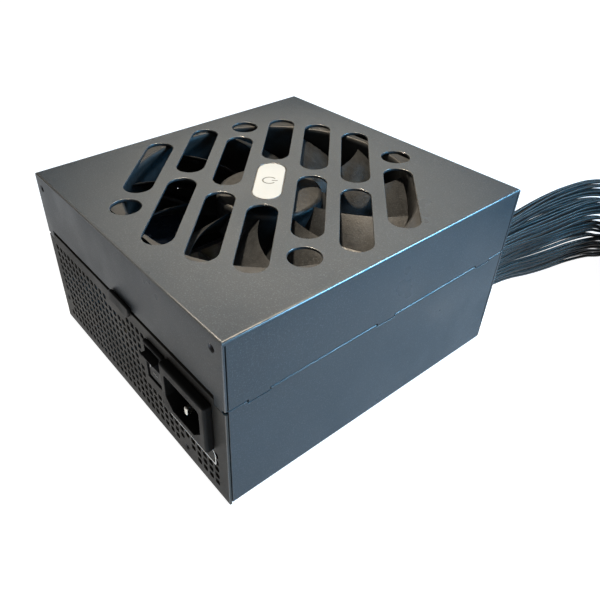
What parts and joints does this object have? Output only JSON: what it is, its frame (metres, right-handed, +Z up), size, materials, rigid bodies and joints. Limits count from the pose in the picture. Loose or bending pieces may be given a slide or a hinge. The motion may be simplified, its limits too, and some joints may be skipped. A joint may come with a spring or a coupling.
{
  "type": "computer power supply unit",
  "caption": "Box-shaped computer power supply with a slotted fan cover, perforated rear panel, mains inlet, rocker switch and coiled output cables.",
  "frame": {"origin": "centre of the case's flat underside", "axes": "+Z up through the fan cover, -Y out of the rear face with the mains inlet, +X towards the side nearest the cable exit"},
  "size_m": [0.2573, 0.3597, 0.086],
  "materials": {
    "powder_coat": "fine textured powder coat, warm dark grey",
    "badge": "satin ivory",
    "black_plastic": "fine moulded texture",
    "rocker_plastic": "satin black",
    "fan_plastic": "moulded, slightly mottled",
    "connector_nylon": "moulded nylon",
    "screw_metal": "black zinc",
    "pin_metal": "nickel plate",
    "steel": "ground",
    "rubber": "matte",
    "cable": "soft vinyl insulation, slight sheen",
    "board": "solder-masked laminate",
    "film": "translucent film",
    "brass": "turned",
    "aluminium": "mill finish",
    "sleeve": "shrunk sleeve",
    "ferrite": "sintered",
    "tape": "polyester tape",
    "copper": "enamelled copper wire",
    "bronze": "sintered"
  },
  "bodies": {
    "case": {"top_cover": "powder_coat", "base_tray": "powder_coat", "rear_panel": "powder_coat", "badge": "badge", "seam_catch": "black_plastic", "inlet_body": "black_plastic", "switch_body": "black_plastic", "fan_frame": "black_plastic", "drive_plug": "connector_nylon", "graphics_plug": "connector_nylon", "processor_plug": "connector_nylon", "mainboard_plug": "connector_nylon", "cover_screw_1": "screw_metal", "cover_screw_2": "screw_metal", "cover_screw_3": "screw_metal", "cover_screw_4": "screw_metal", "fan_screw_1": "screw_metal", "fan_screw_2": "screw_metal", "fan_screw_3": "screw_metal", "fan_screw_4": "screw_metal", "earth_pin": "pin_metal", "live_pin": "pin_metal", "neutral_pin": "pin_metal", "rocker_pin": "steel", "cable_grommet": "rubber", "harness_bundle": "cable", "drive_cable": "cable", "drive_coil": "cable", "drive_tail": "cable", "graphics_cable": "cable", "graphics_coil": "cable", "graphics_tail": "cable", "processor_cable": "cable", "processor_coil": "cable", "processor_tail": "cable", "mainboard_cable": "cable", "mainboard_coil": "cable", "mainboard_tail": "cable", "main_board": "board", "insulation_sheet": "film", "standoff_1": "brass", "standoff_2": "brass", "standoff_3": "brass", "standoff_4": "brass", "primary_sink": "aluminium", "secondary_sink": "aluminium", "bulk_capacitor": "sleeve", "output_capacitor": "sleeve", "main_transformer_core": "ferrite", "mains_filter": "ferrite", "main_transformer_winding": "tape", "standby_transformer": "tape", "correction_choke": "copper", "output_choke": "copper", "fan_stator": "copper", "fan_bearing": "bronze"},
    "fan_rotor_group": {"fan_rotor": "fan_plastic", "rotor_magnet": "ferrite", "fan_shaft": "steel"},
    "rocker": {"switch_rocker": "rocker_plastic"}
  },
  "joints": [
    {"name": "fan_spin", "type": "hinge", "parent": "case", "child": "fan_rotor_group", "pos_m": [0, 0, 0.07], "axis": [0, 0, 1], "continuous": true},
    {"name": "switch_rock", "type": "hinge", "parent": "case", "child": "rocker", "pos_m": [0.0275, -0.078, 0.04], "axis": [-1, 0, 0], "range_deg": [0, 26]}
  ]
}
